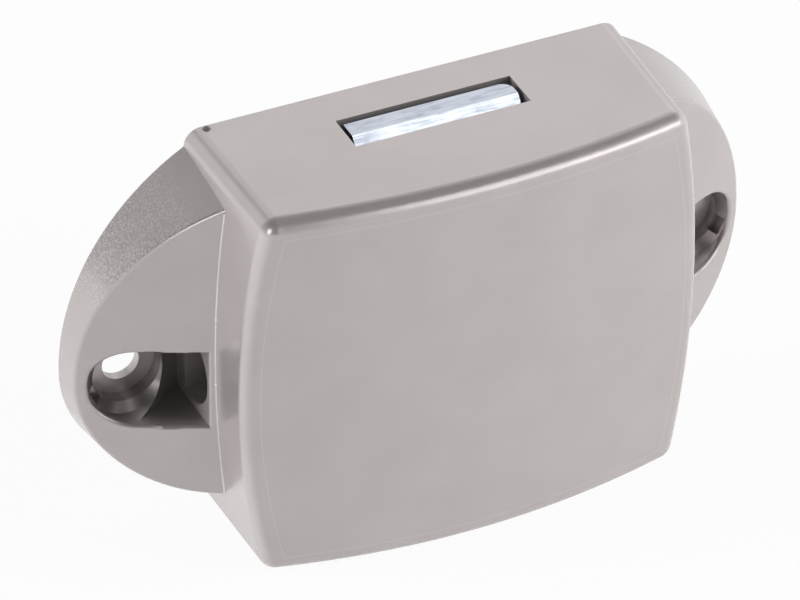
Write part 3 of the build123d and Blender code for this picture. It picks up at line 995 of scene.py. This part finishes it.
@dataclass
class PlungerAssembly:
    """The plunger with its drive pins, the return spring and the wire that holds it in."""

    pin: float = 2.4
    pin_edge: float = 0.2
    spring_wire: float = 0.7
    spring_turns: float = 7.5
    stroke: float = 8.0
    follower_wire: float = 1.0
    follower_bend: float = 0.9
    lane: float = 1.3
    pivot_drop: float = 12.0
    head_half: float = 6.5
    finish: MouldedFinish = INNER_FINISH
    pin_finish: MetalFinish = PIN_FINISH
    wire_finish: MetalFinish = WIRE_FINISH

    def build(self, groups: ShaderGroups, pairs: GeometryTree, wires: GeometryTree) -> list[Piece]:
        """Dresses the plunger, and makes its pins, spring and follower.

        Args:
            groups: the shared surface effects.
            pairs: the tree that sets down matched pairs.
            wires: the tree that sweeps a round wire along a line.

        Returns:
            The pieces.
        """
        plunger = dress(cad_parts["plunger"], self.finish.material(groups))
        wire = self.wire_finish.material(groups)
        pins = self._pins(pairs, self.pin_finish.material(groups))
        return [plunger, pins, self._spring(wire), self._follower(wire, wires)]

    def _pins(self, pairs: GeometryTree, plated: bpy.types.Material) -> Piece:
        """The two drive pins, one in each side of the plunger.

        Args:
            pairs: the tree that sets down matched pairs.
            plated: the pins' material.

        Returns:
            Both pins in one piece.
        """
        low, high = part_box("drive_pin_right")
        middle = (low + high) / 2
        half = (high.x - low.x) / 2 / MM
        mesh = turned_mesh("pin", eased(self.pin / 2, -half, half, self.pin_edge), Vector((1, 0, 0)))
        pins = pairs.make("drive_pins", mesh, {
            "Middle": Vector((0, middle.y, middle.z)), "Spacing": 2 * middle.x, "Finish": plated})
        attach(pins, Body.PLUNGER.value)
        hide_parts("drive_pin_left", "drive_pin_right")
        return pins

    def _spring(self, wire: bpy.types.Material) -> Piece:
        """The return spring at rest; the real spring shortens towards the cover as the plunger goes in.

        Args:
            wire: the spring's material.

        Returns:
            The spring.
        """
        low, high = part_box("plunger_spring")
        length = high.y - low.y
        spring = coil_tree().make("return_spring", bpy.data.meshes.new("coil_start"), {
            "Start": Vector((0, high.y - self.spring_wire / 2 * MM, 0)),
            "Length": length - self.spring_wire * MM,
            "Turns": self.spring_turns,
            "Mean Radius": (high.x - low.x - self.spring_wire * MM) / 2,
            "Wire": self.spring_wire * MM,
            "Finish": wire,
        })
        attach(spring, Body.CASE.value)
        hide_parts("plunger_spring")
        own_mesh(spring)
        return spring

    def _follower(self, wire: bpy.types.Material, wires: GeometryTree) -> Piece:
        """The bent wire that rides in the plunger's hold track.

        Args:
            wire: the follower's material.
            wires: the tree that sweeps a round wire along a line.

        Returns:
            The follower.
        """
        low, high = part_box("hold_follower")
        arm = high.y - self.follower_wire / 2 * MM
        lane = -self.lane * MM
        pivot = -self.pivot_drop * MM
        knee = (pivot - self.head_half * MM) / 2
        route = [(0, low.y, pivot), (0, arm, pivot), (lane, arm, knee), (lane, arm, high.z)]
        follower = wires.make("hold_wire", polyline("follower_route", [route]), {
            "Bend": self.follower_bend * MM, "Wire": self.follower_wire * MM, "Finish": wire})
        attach(follower, Body.FOLLOWER.value)
        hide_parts("hold_follower")
        return follower


@dataclass(frozen=True)
class Softbox:
    """One soft lamp: its place, width and height, power in watts, reach, and the nodes it is kept to."""

    name: str
    place: Point
    size: Pair
    power: float
    reach: Reach = Reach.ALL
    only: tuple[str, ...] = ()


@dataclass
class Studio:
    """The pale floor, the soft light and the camera.

    World levels are shares of white. A band is the part of a unit direction over which the world
    changes from one level to another.
    """

    camera_place: Point = (-196.75, -407.31, 338.61)
    camera_right: Point = (0.90472, -0.42580, 0.01359)
    camera_up: Point = (0.24658, 0.54938, 0.79836)
    lens: float = 270.0
    sensor: float = 36.0
    clip_near: float = 10.0
    clip_far: float = 10000.0
    floor_size: float = 4000.0
    floor_tone: Colour = (0.92, 0.92, 0.92)
    floor_rough: float = 0.9
    floor_white: float = 0.93
    world_level: float = 0.25
    overhead: float = 0.25
    overhead_band: Range = (0.4, 0.8)
    left_side: float = 0.2
    left_band: Range = (-0.1, 0.02)
    lamps: list[Softbox] = field(default_factory=lambda: [
        Softbox("back_lamp", (300.0, 700.0, 620.0), (1000.0, 700.0), 1.25),
        Softbox("right_lamp", (680.0, -425.0, 255.0), (450.0, 450.0), 6.8, Reach.MATT),
        Softbox("left_lamp", (-850.0, 250.0, 160.0), (400.0, 300.0), 8.0, Reach.MATT),
        Softbox("front_lamp", (380.0, -750.0, 520.0), (480.0, 560.0), 1.25, Reach.GLOSS),
        Softbox("sheen_lamp", (650.0, -520.0, 310.0), (420.0, 300.0), 0.75, Reach.GLOSS),
        Softbox("edge_lamp", (-680.0, -416.0, 280.0), (260.0, 360.0), 1.0, Reach.GLOSS),
        Softbox("bolt_lamp", (312.0, -350.0, 767.0), (320.0, 320.0), 1.0, Reach.GLOSS, ("bolt",)),
    ])

    def build(self) -> None:
        """Sets up the stage."""
        bpy.context.scene.view_settings.view_transform = "Standard"
        self._world()
        self._floor()
        for lamp in self.lamps:
            self._lamp(lamp)
        self._camera()

    @staticmethod
    def _mirrored(graph: NodeGraph, path: Outputs) -> Socket:
        """One where a ray comes from a mirror-like or clear surface."""
        return graph.math("MAXIMUM", path["Is Glossy Ray"], path["Is Transmission Ray"])

    def _world(self) -> None:
        """White where it is seen, darker overhead and to the left in reflections, plain light elsewhere."""
        world = bpy.data.worlds.new("studio")
        bpy.context.scene.world = world
        world.use_nodes = True
        graph = NodeGraph(world.node_tree)
        path = graph.add("ShaderNodeLightPath").outputs
        way = graph.add("ShaderNodeTexCoord").outputs["Generated"]
        ways = graph.add("ShaderNodeSeparateXYZ", Vector=way).outputs
        across = graph.math("ADD", ways["X"], graph.math("MAXIMUM", ways["Y"], 0.0))
        shown = graph.math(
            "MULTIPLY", graph.spread(ways["Z"], self.overhead_band, 1.0, self.overhead),
            graph.spread(across, self.left_band, self.left_side, 1.0))
        level = graph.between(self._mirrored(graph, path), self.world_level, shown)
        level = graph.between(path["Is Camera Ray"], level, 1.0)
        background = world.node_tree.nodes["Background"]
        background.inputs["Color"].default_value = (1, 1, 1, 1)
        graph.set(background.inputs["Strength"], level)

    def _floor(self) -> None:
        """A wide pale floor under the lock, nearly white where it is seen."""
        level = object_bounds()[0][2]
        half = self.floor_size / 2 * MM
        mesh = bpy.data.meshes.new("floor")
        corners = [(-half, -half, level), (half, -half, level), (half, half, level), (-half, half, level)]
        mesh.from_pydata(corners, [], [(0, 1, 2, 3)])
        floor = link("floor", mesh)
        material = bpy.data.materials.new("floor_white")
        material.use_nodes = True
        graph = NodeGraph(material.node_tree)
        matt = material.node_tree.nodes["Principled BSDF"]
        matt.inputs["Base Color"].default_value = (*self.floor_tone, 1)
        matt.inputs["Roughness"].default_value = self.floor_rough
        glow = graph.add("ShaderNodeEmission", Color=(1, 1, 1, 1), Strength=1.0)
        path = graph.add("ShaderNodeLightPath").outputs
        seen = graph.math("MAXIMUM", path["Is Camera Ray"], self._mirrored(graph, path))
        share = graph.math("MULTIPLY", seen, self.floor_white)
        blend = graph.fill("ShaderNodeMixShader", {}, {0: share, 1: matt.outputs[0], 2: glow.outputs[0]})
        graph.set(material.node_tree.nodes["Material Output"].inputs["Surface"], blend.outputs[0])
        mesh.materials.append(material)
        floor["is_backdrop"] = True

    @staticmethod
    def _lamp(lamp: Softbox) -> None:
        """One soft lamp, turned to the lock.

        Args:
            lamp: what the lamp is.
        """
        data = bpy.data.lights.new(lamp.name, "AREA")
        data.shape = "RECTANGLE"
        data.size = lamp.size[0] * MM
        data.size_y = lamp.size[1] * MM
        data.energy = lamp.power
        obj = link(lamp.name, data)
        obj.visible_glossy = lamp.reach is not Reach.MATT
        obj.visible_diffuse = lamp.reach is not Reach.GLOSS
        if lamp.only:
            lit = bpy.data.collections.new(lamp.name)
            for node in lamp.only:
                lit.objects.link(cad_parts[node])
            obj.light_linking.receiver_collection = lit
        obj.location = metres(lamp.place)
        obj.rotation_euler = (-obj.location).to_track_quat("-Z", "Y").to_euler()

    def _camera(self) -> None:
        """The camera at the photograph's place and angle."""
        data = bpy.data.cameras.new("camera")
        data.lens = self.lens
        data.sensor_width = self.sensor
        data.sensor_fit = "HORIZONTAL"
        data.clip_start = self.clip_near * MM
        data.clip_end = self.clip_far * MM
        right = Vector(self.camera_right).normalized()
        up = Vector(self.camera_up).normalized()
        turn = Matrix((right, up, right.cross(up))).transposed()
        camera = link("camera", data)
        camera.matrix_world = Matrix.Translation(metres(self.camera_place)) @ turn.to_4x4()
        bpy.context.scene.camera = camera


def main() -> None:
    """Builds the lock's pieces in order, reports each one, and sets up the stage."""
    logging.basicConfig(level=logging.INFO, format="%(name)s: %(message)s")
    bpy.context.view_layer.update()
    groups = ShaderGroups()
    pairs = pair_tree()
    wires = wire_tree()
    pieces = [
        *CaseAssembly().build(groups, wires),
        *BoltAssembly().build(groups, pairs),
        *PlungerAssembly().build(groups, pairs, wires),
    ]
    for piece in pieces:
        LOG.info("%s: %d faces", piece.name, len(piece.data.polygons))
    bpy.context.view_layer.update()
    Studio().build()


if __name__ == "__main__":
    main()
